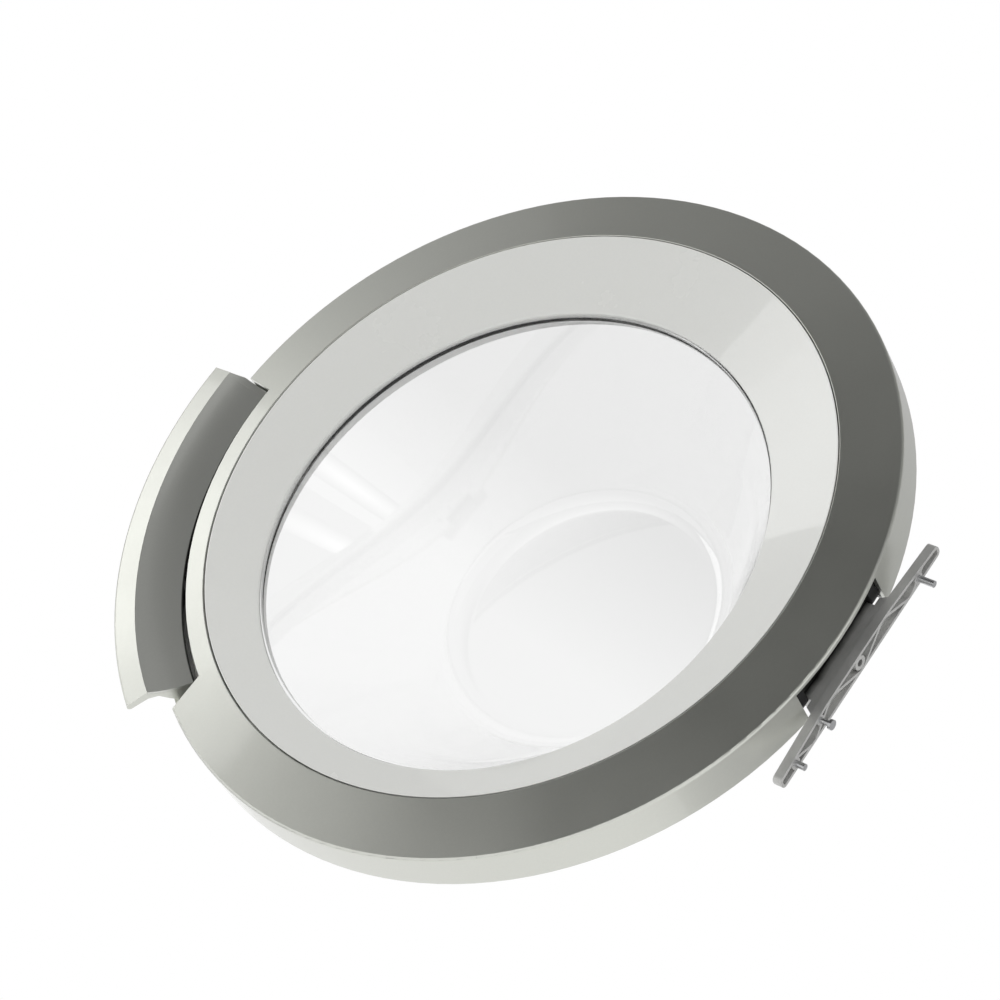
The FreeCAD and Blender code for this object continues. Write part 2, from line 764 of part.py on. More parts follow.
def handle_grip():
    """Silver pull handle: lip, hollow face, two arms with eyes for the pin, and a finger for the hook."""
    lip_back = lip_front + lip_thickness
    neck_back = lip_front + lip_neck
    slope = (scoop_depth - lip_front) / (lip_inner - scoop_inner)
    grip = revolved([
        (lip_inner, lip_front, 0),
        (lip_outer, lip_front + lip_width * cone_slope, lip_round),
        (lip_outer, lip_back, lip_round),
        (lip_inner + neck_lead, neck_back, 0),
        (lip_inner - neck_lag, neck_back + neck_drop, neck_round),
        (heel_outer, grip_back - heel_rise, heel_round),
        (heel_outer - heel_width, grip_back, heel_round),
        (grip_inner, grip_back, grip_round),
        (grip_inner, scoop_depth + scoop_start * slope, 0),
    ], -handle_half_span, 2 * handle_half_span)
    grip = grip.cut(scoop_pocket())
    grip = grip.fuse([grip_arm(lever_arm_inner), grip_arm(-lever_arm_inner - lever_arm_width)])
    finger = box(
        (finger_x - finger_half_width, grip_back - finger_root, finger_side),
        (finger_x + finger_half_width, finger_peg_y + finger_peg_radius, finger_side + finger_thickness))
    peg = rod_z(finger_x, finger_peg_y, finger_peg_radius, -finger_side, finger_side)
    grip = grip.fuse([finger, peg])
    grip = grip.cut(rod_z(lever_x, lever_y, lever_pin_radius + lever_pin_fit, -far, far))
    return turned(grip.removeSplitter(), handle_angle)


def handle_pin():
    """Pin on which the handle turns."""
    half_length = lever_arm_inner + lever_arm_width + lug_gap + lug_width + pin_overrun
    return turned(rod_z(lever_x, lever_y, lever_pin_radius, -half_length, half_length), handle_angle)


def latch_hook():
    """Flat steel hook with a tail that the handle's finger lifts."""
    half = hook_thickness / 2
    inner = hook_x - hook_half_width
    outer = hook_x + hook_half_width
    shank = prism_z([
        (inner, hook_y, 0),
        (outer, hook_y, 0),
        (outer, hook_tip, hook_tip_round),
        (inner + hook_tip_inset, hook_tip, hook_round),
        (inner - hook_nose_depth, hook_nose_front + hook_nose_height, hook_round),
        (inner - hook_nose_depth, hook_nose_front, hook_round),
        (inner, hook_nose_front, hook_round),
    ], -half, half)
    tail = prism_z([
        (hook_x, hook_tail_front, 0),
        (hook_tail_end, hook_tail_front, hook_round),
        (hook_tail_end, hook_tail_front + hook_tail_width, hook_round),
        (hook_x, hook_tail_front + hook_tail_width, 0),
    ], -half, half)
    hook = rod_z(hook_x, hook_y, hook_eye_radius, -half, half).fuse([shank, tail])
    hook = hook.cut(rod_z(hook_x, hook_y, latch_pin_radius + latch_pin_fit, -far, far))
    return turned(hook.removeSplitter(), handle_angle)


def latch_screw_places():
    """(x, z) of the latch bracket's screws, at +X."""
    return [(latch_screw_x, latch_screw_side), (latch_screw_x, -latch_screw_side)]


def latch_bracket():
    """Bent sheet that carries the hook's pin on the rear frame."""
    base_front = rear_front - latch_sheet
    base = prism_y([
        (hook_x - latch_base_lag, -latch_base_half_length, latch_base_round),
        (hook_x + latch_base_reach, -latch_base_half_length, latch_base_round),
        (hook_x + latch_base_reach, latch_base_half_length, latch_base_round),
        (hook_x - latch_base_lag, latch_base_half_length, latch_base_round),
    ], base_front, rear_front)
    ear_inner = hook_thickness / 2 + latch_ear_gap
    outline = [
        (hook_x - latch_ear_half_width, base_front, 0),
        (hook_x - latch_ear_half_width, hook_y - hook_eye_radius, latch_ear_round),
        (hook_x + latch_ear_half_width, hook_y - hook_eye_radius, latch_ear_round),
        (hook_x + latch_ear_half_width, base_front, 0),
    ]
    for low in (ear_inner, -ear_inner - latch_sheet):
        base = base.fuse(prism_z(outline, low, low + latch_sheet))
    slot = box(
        (latch_slot_inner, 0, -latch_slot_half_width),
        (latch_slot_outer, far, latch_slot_half_width))
    base = base.cut(slot)
    base = base.cut(rod_z(hook_x, hook_y, latch_pin_radius + latch_pin_fit, -far, far))
    for x, z in latch_screw_places():
        base = base.cut(rod_y(x, z, screw_radius + screw_play, 0, far))
    leg_hole = rod_y(hook_x - coil_radius, coil_end, 2 * coil_wire_radius, 0, far)
    return turned(base.cut(leg_hole).removeSplitter(), handle_angle)


def latch_screws():
    """Screws that hold the latch bracket to the rear frame."""
    screws = [screw(x, z, rear_back, latch_screw_length) for x, z in latch_screw_places()]
    return turned(Part.makeCompound(screws), handle_angle)


def latch_pin():
    """Headed pin of the hook, long enough on one side for the spring."""
    ear_outer = hook_thickness / 2 + latch_ear_gap + latch_sheet
    head_radius = latch_pin_radius + latch_head_wall
    head = rod_z(hook_x, hook_y, head_radius, -ear_outer - latch_head_height, -ear_outer)
    low = -ear_outer - latch_head_height / 2
    shank = rod_z(hook_x, hook_y, latch_pin_radius, low, coil_end + 2 * pin_overrun)
    return turned(head.fuse(shank), handle_angle)


def latch_spring():
    """Torsion spring: a coil on the hook's pin, a leg in the bracket and a bent leg on the hook's tail."""
    helix = Part.makeHelix(coil_pitch, coil_pitch * coil_turns, coil_radius, 0, True)
    ring = Part.Wire(Part.makeCircle(coil_wire_radius, vec(coil_radius, 0, 0), vec(0, 1, 0)))
    coil = Part.Wire(helix.Edges).makePipeShell([ring], True, True)
    coil.rotate(vec(0, 0, 0), vec(0, 0, 1), -90)
    coil.translate(vec(hook_x, hook_y, coil_start))
    front = hook_y - coil_radius
    leg_end = hook_x + coil_leg_length
    tail_leg = Part.makeCylinder(
        coil_wire_radius, coil_leg_length, vec(hook_x, front, coil_start), vec(1, 0, 0))
    bend = Part.makeSphere(coil_wire_radius, vec(leg_end, front, coil_start))
    cross_leg = rod_z(leg_end, front, coil_wire_radius, coil_leg_side, coil_start)
    base_leg = rod_y(hook_x - coil_radius, coil_end, coil_wire_radius, hook_y, rear_front - coil_leg_gap)
    spring = coil.fuse([tail_leg, bend, cross_leg, base_leg])
    return turned(spring, handle_angle)


def export(name, shape):
    """Writes one piece, moved so that the origin is the fixing hole in the mounting face."""
    piece = shape.copy()
    piece.translate(vec(-face_x, -fixing_y, 0))
    piece.exportStep(f"parts/{name}.step")


pieces = {
    "outer_ring": outer_ring,
    "inner_trim_ring": inner_trim_ring,
    "glass_bowl": glass_bowl,
    "rear_frame": rear_frame,
    "frame_screws": frame_screws,
    "hinge_plate": hinge_plate,
    "hinge_plate_screws": hinge_plate_screws,
    "hinge_bush_upper": lambda: hinge_bush(1),
    "hinge_bush_lower": lambda: hinge_bush(-1),
    "hinge_pin": hinge_pin,
    "hinge_pin_clips": hinge_pin_clips,
    "hinge_bracket": hinge_bracket,
    "bracket_pegs": bracket_pegs,
    "bracket_stud": bracket_stud,
    "handle_grip": handle_grip,
    "handle_inlay": handle_inlay,
    "handle_pin": handle_pin,
    "latch_hook": latch_hook,
    "latch_bracket": latch_bracket,
    "latch_screws": latch_screws,
    "latch_pin": latch_pin,
    "latch_spring": latch_spring,
}

os.makedirs("parts", exist_ok=True)
for piece_name, build in pieces.items():
    export(piece_name, build())
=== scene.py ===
"""Looks of a washing machine's porthole door: finishes for every CAD piece, modelled glass, screws and inlay end,
light and camera.

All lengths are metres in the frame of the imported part: the origin is the fixing hole of the hinge bracket, +X
points out of the bracket's mounting face, +Y backwards through the glass bowl and +Z up, along the hinge.
"""

import logging
import math
from dataclasses import dataclass, field
from enum import Enum

import bpy
from mathutils import Matrix, Vector

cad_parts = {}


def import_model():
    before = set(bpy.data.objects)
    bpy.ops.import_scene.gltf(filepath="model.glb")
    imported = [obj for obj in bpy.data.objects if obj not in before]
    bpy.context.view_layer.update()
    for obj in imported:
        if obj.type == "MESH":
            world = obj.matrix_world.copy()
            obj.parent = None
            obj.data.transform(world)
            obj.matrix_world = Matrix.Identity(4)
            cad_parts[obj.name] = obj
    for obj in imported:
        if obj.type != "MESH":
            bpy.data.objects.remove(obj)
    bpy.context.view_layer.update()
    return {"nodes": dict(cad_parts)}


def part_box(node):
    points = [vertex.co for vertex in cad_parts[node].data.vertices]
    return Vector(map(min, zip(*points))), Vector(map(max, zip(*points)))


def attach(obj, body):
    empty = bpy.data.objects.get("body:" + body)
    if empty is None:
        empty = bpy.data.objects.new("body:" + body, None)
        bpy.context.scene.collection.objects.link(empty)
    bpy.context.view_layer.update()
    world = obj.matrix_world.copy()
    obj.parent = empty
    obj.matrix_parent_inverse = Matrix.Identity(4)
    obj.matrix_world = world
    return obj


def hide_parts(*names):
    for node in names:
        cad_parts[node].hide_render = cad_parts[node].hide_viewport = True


LOG = logging.getLogger("porthole_door")
UPRIGHT = math.pi / 2
DOOR_AXIS = (-0.238, 0.0, 0.0)
ROUND_DOOR_AXIS = (1.0, 0.0, 1.0)
WHITE = (1.0, 1.0, 1.0, 1.0)
MIX_FIRST, MIX_SECOND, MIX_RESULT = 6, 7, 2
LIGHT_BOUNCES = 32
GRID_HALF = 0.5
MIDDLE_TO_EDGE = 2.0
FACES_DOWN_HOLE = -0.5
Colour = tuple[float, float, float]
Point = tuple[float, float, float]


class Body(Enum):
    """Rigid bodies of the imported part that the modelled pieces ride."""

    DOOR = "door"
    HANDLE = "handle"


class Ray(Enum):
    """Kinds of light ray that see a white background of their own."""

    CAMERA = "Is Camera Ray"
    GLOSSY = "Is Glossy Ray"
    TRANSMISSION = "Is Transmission Ray"


class Socket(Enum):
    """Types of a shader group's sockets."""

    VECTOR = "NodeSocketVector"
    VALUE = "NodeSocketFloat"
    COLOUR = "NodeSocketColor"


# Shader node groups

GRAIN_FINE_DETAIL = 3.0
GRAIN_COARSE_DETAIL = 1.0
GRAIN_COARSE_SCALE = 0.3
GLOSS_DETAIL = 5.0
GLOSS_ROUGHNESS = 0.6
GLOSS_SPREAD = (0.3, 0.7)
TONE_DETAIL = 4.0


def new_group(name: str, inputs: dict[str, Socket], outputs: dict[str, Socket]) -> bpy.types.NodeTree:
    """Makes an empty shader node group with named sockets.

    Args:
        name: Name of the group.
        inputs: Socket name to its type.
        outputs: Socket name to its type.

    Returns:
        The node group, holding only its input and output nodes.
    """
    group = bpy.data.node_groups.new(name, "ShaderNodeTree")
    for way, sockets in (("INPUT", inputs), ("OUTPUT", outputs)):
        for socket, kind in sockets.items():
            group.interface.new_socket(socket, in_out=way, socket_type=kind.value)
    group.nodes.new("NodeGroupInput").name = "in"
    group.nodes.new("NodeGroupOutput").name = "out"
    return group


def grain_group() -> bpy.types.NodeTree:
    """Fine moulded or cast grain as a height, from two sizes of noise.

    Returns:
        The node group.
    """
    group = new_group(
        "surface_grain", {"Vector": Socket.VECTOR, "Scale": Socket.VALUE}, {"Height": Socket.VALUE})
    nodes, links = group.nodes, group.links
    fine = nodes.new("ShaderNodeTexNoise")
    fine.inputs["Detail"].default_value = GRAIN_FINE_DETAIL
    coarse = nodes.new("ShaderNodeTexNoise")
    coarse.inputs["Detail"].default_value = GRAIN_COARSE_DETAIL
    larger = nodes.new("ShaderNodeMath")
    larger.operation = "MULTIPLY"
    larger.inputs[1].default_value = GRAIN_COARSE_SCALE
    both = nodes.new("ShaderNodeMath")
    both.operation = "ADD"
    for noise in (fine, coarse):
        links.new(nodes["in"].outputs["Vector"], noise.inputs["Vector"])
    links.new(nodes["in"].outputs["Scale"], fine.inputs["Scale"])
    links.new(nodes["in"].outputs["Scale"], larger.inputs[0])
    links.new(larger.outputs[0], coarse.inputs["Scale"])
    links.new(fine.outputs["Fac"], both.inputs[0])
    links.new(coarse.outputs["Fac"], both.inputs[1])
    links.new(both.outputs[0], nodes["out"].inputs["Height"])
    return group


def marks_group() -> bpy.types.NodeTree:
    """Uneven gloss left by handling and cleaning, as a roughness between two values.

    Returns:
        The node group.
    """
    group = new_group(
        "uneven_gloss",
        {"Vector": Socket.VECTOR, "Scale": Socket.VALUE, "Smooth": Socket.VALUE, "Dull": Socket.VALUE},
        {"Roughness": Socket.VALUE},
    )
    nodes, links = group.nodes, group.links
    cloud = nodes.new("ShaderNodeTexNoise")
    cloud.inputs["Detail"].default_value = GLOSS_DETAIL
    cloud.inputs["Roughness"].default_value = GLOSS_ROUGHNESS
    spread = nodes.new("ShaderNodeMapRange")
    spread.inputs["From Min"].default_value = GLOSS_SPREAD[0]
    spread.inputs["From Max"].default_value = GLOSS_SPREAD[1]
    links.new(nodes["in"].outputs["Vector"], cloud.inputs["Vector"])
    links.new(nodes["in"].outputs["Scale"], cloud.inputs["Scale"])
    links.new(cloud.outputs["Fac"], spread.inputs["Value"])
    links.new(nodes["in"].outputs["Smooth"], spread.inputs["To Min"])
    links.new(nodes["in"].outputs["Dull"], spread.inputs["To Max"])
    links.new(spread.outputs["Result"], nodes["out"].inputs["Roughness"])
    return group


def tint_group() -> bpy.types.NodeTree:
    """Colour that wanders between two tones, for flake, plating stains and cast skin.

    Returns:
        The node group.
    """
    group = new_group(
        "wandering_tone",
        {"Vector": Socket.VECTOR, "Scale": Socket.VALUE, "Light": Socket.COLOUR, "Dark": Socket.COLOUR},
        {"Color": Socket.COLOUR},
    )
    nodes, links = group.nodes, group.links
    cloud = nodes.new("ShaderNodeTexNoise")
    cloud.inputs["Detail"].default_value = TONE_DETAIL
    mix = nodes.new("ShaderNodeMix")
    mix.data_type = "RGBA"
    links.new(nodes["in"].outputs["Vector"], cloud.inputs["Vector"])
    links.new(nodes["in"].outputs["Scale"], cloud.inputs["Scale"])
    links.new(cloud.outputs["Fac"], mix.inputs["Factor"])
    links.new(nodes["in"].outputs["Dark"], mix.inputs[MIX_FIRST])
    links.new(nodes["in"].outputs["Light"], mix.inputs[MIX_SECOND])
    links.new(mix.outputs[MIX_RESULT], nodes["out"].inputs["Color"])
    return group


@dataclass(frozen=True)
class Effects:
    """Shader groups that the finishes share."""

    grain: bpy.types.NodeTree
    marks: bpy.types.NodeTree
    tint: bpy.types.NodeTree

    @classmethod
    def build(cls) -> "Effects":
        """Makes each group once.

        Returns:
            The groups.
        """
        return cls(grain_group(), marks_group(), tint_group())


# Finishes


@dataclass(frozen=True)
class Finish:
    """A surface finish: two close tones, uneven gloss and a fine grain.

    Fields hold the look: light and dark tone, size of the tone's wandering, metallic share, smoothest and dullest
    roughness, size of the gloss marks, grain size, depth and strength, a clear coat with its roughness, and the
    refractive index.
    """

    name: str
    light: Colour
    dark: Colour
    tone_scale: float = 40.0
    metallic: float = 0.0
    smooth: float = 0.3
    dull: float = 0.4
    marks_scale: float = 14.0
    grain_scale: float = 900.0
    grain_depth: float = 0.00002
    grain_strength: float = 0.1
    coat: float = 0.0
    coat_roughness: float = 0.05
    ior: float = 1.5

    def material(self, effects: Effects) -> bpy.types.Material:
        """Builds the finish as a node material.

        Args:
            effects: Shared shader groups.

        Returns:
            The material.
        """
        material = bpy.data.materials.new(self.name)
        material.use_nodes = True
        nodes, links = material.node_tree.nodes, material.node_tree.links
        surface = nodes["Principled BSDF"]
        surface.inputs["Metallic"].default_value = self.metallic
        surface.inputs["IOR"].default_value = self.ior
        surface.inputs["Coat Weight"].default_value = self.coat
        surface.inputs["Coat Roughness"].default_value = self.coat_roughness
        place = nodes.new("ShaderNodeTexCoord")
        tone = self._group(nodes, effects.tint, {"Scale": self.tone_scale})
        tone.inputs["Light"].default_value = (*self.light, 1.0)
        tone.inputs["Dark"].default_value = (*self.dark, 1.0)
        gloss = self._group(
            nodes, effects.marks, {"Scale": self.marks_scale, "Smooth": self.smooth, "Dull": self.dull})
        grain = self._group(nodes, effects.grain, {"Scale": self.grain_scale})
        bump = nodes.new("ShaderNodeBump")
        bump.inputs["Strength"].default_value = self.grain_strength
        bump.inputs["Distance"].default_value = self.grain_depth
        for group in (tone, gloss, grain):
            links.new(place.outputs["Object"], group.inputs["Vector"])
        links.new(tone.outputs["Color"], surface.inputs["Base Color"])
        links.new(gloss.outputs["Roughness"], surface.inputs["Roughness"])
        links.new(grain.outputs["Height"], bump.inputs["Height"])
        links.new(bump.outputs["Normal"], surface.inputs["Normal"])
        return material

    @staticmethod
    def _group(nodes: bpy.types.Nodes, tree: bpy.types.NodeTree, values: dict[str, float]) -> bpy.types.Node:
        """Places a shader group with its own values.

        Args:
            nodes: Nodes of the material.
            tree: The shader group.
            values: Socket name to value.

        Returns:
            The group node.
        """
        node = nodes.new("ShaderNodeGroup")
        node.node_tree = tree
        for socket, value in values.items():
            node.inputs[socket].default_value = value
        return node


@dataclass(frozen=True)
class ShadedFinish(Finish):
    """Finish that painted shade darkens up to a distance from an axis, with a ragged edge, in place of the shade that
    falls in gaps and recesses.

    Fields hold the painted shade's colour, a point on the axis, the directions across it, and the distances at which
    the painted shade is full, is gone, and wanders.
    """

    painted_shade: Colour = (0.018, 0.018, 0.016)
    centre: Point = (0.0, 0.0, 0.0)
    across: Point = (1.0, 1.0, 0.0)
    shade_full: float = 0.0
    shade_gone: float = 0.001
    ragged: float = 0.0

    def material(self, effects: Effects) -> bpy.types.Material:
        """Builds the finish and lays the painted shade over its tone.

        Args:
            effects: Shared shader groups.

        Returns:
            The material.
        """
        material = super().material(effects)
        nodes, links = material.node_tree.nodes, material.node_tree.links
        colour = nodes["Principled BSDF"].inputs["Base Color"]
        place = nodes.new("ShaderNodeTexCoord")
        from_axis = nodes.new("ShaderNodeVectorMath")
        from_axis.operation = "SUBTRACT"
        from_axis.inputs[1].default_value = self.centre
        across = nodes.new("ShaderNodeVectorMath")
        across.operation = "MULTIPLY"
        across.inputs[1].default_value = self.across
        reach = nodes.new("ShaderNodeVectorMath")
        reach.operation = "LENGTH"
        edge = nodes.new("ShaderNodeTexNoise")
        edge.inputs["Scale"].default_value = self.tone_scale
        wander = nodes.new("ShaderNodeMath")
        wander.operation = "MULTIPLY_ADD"
        wander.inputs[1].default_value = self.ragged
        # Painted shade: the tone turns dark towards the axis, standing in for shade in the gap or recess there.
        shade_mask = nodes.new("ShaderNodeMapRange")
        shade_mask.inputs["From Min"].default_value = self.shade_gone
        shade_mask.inputs["From Max"].default_value = self.shade_full
        mix = nodes.new("ShaderNodeMix")
        mix.data_type = "RGBA"
        mix.inputs[MIX_SECOND].default_value = (*self.painted_shade, 1.0)
        links.new(place.outputs["Object"], from_axis.inputs[0])
        links.new(from_axis.outputs["Vector"], across.inputs[0])
        links.new(across.outputs["Vector"], reach.inputs[0])
        links.new(place.outputs["Object"], edge.inputs["Vector"])
        links.new(edge.outputs["Fac"], wander.inputs[0])
        links.new(reach.outputs["Value"], wander.inputs[2])
        links.new(wander.outputs[0], shade_mask.inputs["Value"])
        links.new(shade_mask.outputs["Result"], mix.inputs["Factor"])
        links.new(colour.links[0].from_socket, mix.inputs[MIX_FIRST])
        links.new(mix.outputs[MIX_RESULT], colour)
        return material


@dataclass(frozen=True)
class ClearGlass:
    """Clear pressed glass, which lets the light straight through to what lies behind it."""

    name: str = "clear_glass"
    tint: Colour = (0.945, 0.947, 0.945)
    ior: float = 1.5

    def material(self, effects: Effects) -> bpy.types.Material:
        """Builds the glass.

        Args:
            effects: Shared shader groups, of which glass uses none.

        Returns:
            The material.
        """
        material = bpy.data.materials.new(self.name)
        material.use_nodes = True
        nodes, links = material.node_tree.nodes, material.node_tree.links
        surface = nodes["Principled BSDF"]
        surface.inputs["Base Color"].default_value = (*self.tint, 1.0)
        surface.inputs["Roughness"].default_value = 0.0
        surface.inputs["IOR"].default_value = self.ior
        surface.inputs["Transmission Weight"].default_value = 1.0
        clear = nodes.new("ShaderNodeBsdfTransparent")
        clear.inputs["Color"].default_value = (*self.tint, 1.0)
        path = nodes.new("ShaderNodeLightPath")
        mix = nodes.new("ShaderNodeMixShader")
        links.new(path.outputs["Is Shadow Ray"], mix.inputs["Fac"])
        links.new(surface.outputs["BSDF"], mix.inputs[1])
        links.new(clear.outputs["BSDF"], mix.inputs[2])
        links.new(mix.outputs["Shader"], nodes["Material Output"].inputs["Surface"])
        return material


LACQUER_SKIN: dict[str, float] = {
    "tone_scale": 700.0, "smooth": 0.34, "dull": 0.38, "grain_scale": 1600.0, "grain_strength": 0.05, "coat": 0.8,
    "coat_roughness": 0.06}
SILVER_LACQUER = Finish("silver_lacquer", (0.69, 0.7, 0.645), (0.65, 0.66, 0.61), metallic=1.0, **LACQUER_SKIN)
# Painted shade: the grip's inner edge beside the ring's notch is darkened where shade falls in the gap.
GRIP_LACQUER = ShadedFinish(
    "grip_lacquer", SILVER_LACQUER.light, SILVER_LACQUER.dark, metallic=1.0, centre=DOOR_AXIS,
    across=ROUND_DOOR_AXIS, shade_full=0.2152, shade_gone=0.2156, **LACQUER_SKIN)
# Painted shade: a dark line along the inlay's inner edge stands in for the shadow in the gap beside the notch.
INLAY_LACQUER = ShadedFinish(
    "inlay_lacquer", (0.69, 0.7, 0.655), (0.65, 0.66, 0.62), metallic=0.85, centre=DOOR_AXIS,
    across=ROUND_DOOR_AXIS, shade_full=0.2156, shade_gone=0.2162, ragged=0.0001, **LACQUER_SKIN)
PALE_LACQUER = Finish(
    "pale_lacquer", (0.69, 0.695, 0.67), (0.66, 0.665, 0.64), tone_scale=700.0, metallic=0.0, smooth=0.22, dull=0.28,
    grain_scale=1600.0, grain_strength=0.04, coat=0.8, coat_roughness=0.03)
REAR_PLASTIC = Finish(
    "rear_plastic", (0.86, 0.86, 0.85), (0.83, 0.83, 0.82), tone_scale=30.0, smooth=0.45, dull=0.58,
    grain_scale=1400.0, grain_strength=0.25)
BLACK_PLASTIC = Finish(
    "black_plastic", (0.012, 0.012, 0.012), (0.006, 0.006, 0.006), smooth=0.5, dull=0.65, grain_strength=0.2,
    ior=1.4)
ZINC_PLATE = Finish(
    "zinc_plate", (0.62, 0.63, 0.65), (0.5, 0.5, 0.5), tone_scale=90.0, metallic=1.0, smooth=0.25, dull=0.42,
    marks_scale=60.0, grain_scale=2500.0, grain_strength=0.12)
SPRING_WIRE = Finish(
    "spring_wire", (0.45, 0.45, 0.46), (0.3, 0.3, 0.31), tone_scale=160.0, metallic=1.0, smooth=0.25, dull=0.4,
    marks_scale=90.0)
# Painted shade: the bracket turns dark near the hinge barrel, standing in for the shade deep in the ring's slot.
CAST_ALLOY = ShadedFinish(
    "cast_alloy", (0.66, 0.66, 0.645), (0.5, 0.5, 0.49), tone_scale=110.0, metallic=0.7, smooth=0.34, dull=0.55,
    marks_scale=70.0, grain_scale=1100.0, grain_depth=0.0001, grain_strength=0.35, centre=(-0.022, -0.008, 0.0),
    shade_full=0.0085, shade_gone=0.0125, ragged=0.002)
CLEAR_GLASS = ClearGlass()


# Modelling helpers


@dataclass(frozen=True)
class Ring:
    """Circle square to the depth, +Y, that a turned or lofted wall passes through."""

    radius: float
    depth: float
    rise: float = 0.0


def rounded(corners: list[tuple[float, float, float]], turn: float) -> list[Vector]:
    """Rounds the corners of an open outline.

    Args:
        corners: Radius and depth of each corner, and the size of its rounding.
        turn: Largest turn between two points of an arc, in radians.

    Returns:
        Points of the outline, with an arc at each rounded corner.
    """
    places = [Vector(corner[:2]) for corner in corners]
    points = [places[0]]
    for before, here, after, (_, _, size) in zip(places, places[1:], places[2:], corners[1:]):
        back, ahead = (before - here).normalized(), (after - here).normalized()
        if size == 0.0:
            points.append(here)
            continue
        half = back.angle(ahead) / 2
        middle = here + (back + ahead).normalized() * size / math.sin(half)
        start = here + back * size / math.tan(half) - middle
        steps = math.ceil((math.pi - 2 * half) / turn)
        sweep = start.angle_signed(here + ahead * size / math.tan(half) - middle)
        for step in range(steps + 1):
            points.append(middle + Matrix.Rotation(-sweep * step / steps, 2) @ start)
    return [*points, places[-1]]


def loft(name: str, rings: list[Ring], axis: tuple[float, float], segments: int) -> bpy.types.Object:
    """Draws a closed solid from ring to ring, and caps its first and last ring.

    Args:
        name: Name of the piece.
        rings: Circles in order along the wall.
        axis: Place of the axis in X and Z.
        segments: Corners of each circle.

    Returns:
        The solid, at the origin and unturned.
    """
    first = rings[0]
    bpy.ops.object.select_all(action="DESELECT")
    bpy.ops.mesh.primitive_circle_add(
        vertices=segments, radius=first.radius, location=(axis[0], first.depth, axis[1] + first.rise),
        rotation=(UPRIGHT, 0.0, 0.0))
    piece = bpy.context.object
    piece.name = name
    piece.data.name = name
    bpy.ops.object.transform_apply(location=True, rotation=True, scale=True)
    bpy.ops.object.mode_set(mode="EDIT")
    bpy.ops.mesh.select_all(action="SELECT")
    for last, ring in zip(rings, rings[1:]):
        step = (0.0, ring.depth - last.depth, ring.rise - last.rise)
        bpy.ops.mesh.extrude_region_move(TRANSFORM_OT_translate={"value": step})
        grow = ring.radius / last.radius
        bpy.ops.transform.resize(
            value=(grow, 1.0, grow), center_override=(axis[0], ring.depth, axis[1] + ring.rise))
    bpy.ops.mesh.select_all(action="SELECT")
    bpy.ops.mesh.fill_holes(sides=0)
    bpy.ops.mesh.select_all(action="SELECT")
    bpy.ops.mesh.normals_make_consistent(inside=False)
    bpy.ops.object.mode_set(mode="OBJECT")
    return piece


def finish_piece(piece: bpy.types.Object, node: str, body: Body, material: bpy.types.Material) -> None:
    """Dresses a modelled piece and lets it stand for its CAD node.

    Args:
        piece: The modelled piece.
        node: CAD node that it stands for.
        body: Rigid body that it moves with.
        material: Its finish.
    """
    piece.data.materials.clear()
    piece.data.materials.append(material)
    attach(piece, body.value)
    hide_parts(node)
    LOG.info("%s: modelled, %s, %d faces", node, material.name, len(piece.data.polygons))


# The door


@dataclass
class DressedNodes:
    """CAD pieces that keep their shape and get a finish."""

    finishes: dict[str, Finish | ClearGlass] = field(default_factory=lambda: {
        "outer_ring": SILVER_LACQUER,
        "inner_trim_ring": PALE_LACQUER,
        "glass_bowl": CLEAR_GLASS,
        "rear_frame": REAR_PLASTIC,
        "frame_screws": ZINC_PLATE,
        "hinge_plate": ZINC_PLATE,
        "hinge_plate_screws": ZINC_PLATE,
        "hinge_bush_upper": BLACK_PLASTIC,
        "hinge_bush_lower": BLACK_PLASTIC,
        "hinge_pin": ZINC_PLATE,
        "hinge_pin_clips": SPRING_WIRE,
        "hinge_bracket": CAST_ALLOY,
        "bracket_pegs": ZINC_PLATE,
        "bracket_stud": ZINC_PLATE,
        "handle_grip": GRIP_LACQUER,
        "handle_inlay": INLAY_LACQUER,
        "handle_pin": ZINC_PLATE,
        "latch_hook": ZINC_PLATE,
        "latch_bracket": ZINC_PLATE,
        "latch_screws": ZINC_PLATE,
        "latch_pin": ZINC_PLATE,
        "latch_spring": SPRING_WIRE,
    })

    def dress(self, nodes: dict[str, bpy.types.Object], effects: Effects) -> dict[str, bpy.types.Material]:
        """Gives each CAD piece its material.

        Args:
            nodes: CAD objects by node name.
            effects: Shared shader groups.

        Returns:
            The materials by finish name.
        """
        made: dict[str, bpy.types.Material] = {}
        for node, finish in self.finishes.items():
            if finish.name not in made:
                made[finish.name] = finish.material(effects)
            mesh = nodes[node].data
            mesh.materials.clear()
            mesh.materials.append(made[finish.name])
            LOG.info("%s: %s", node, finish.name)
        return made


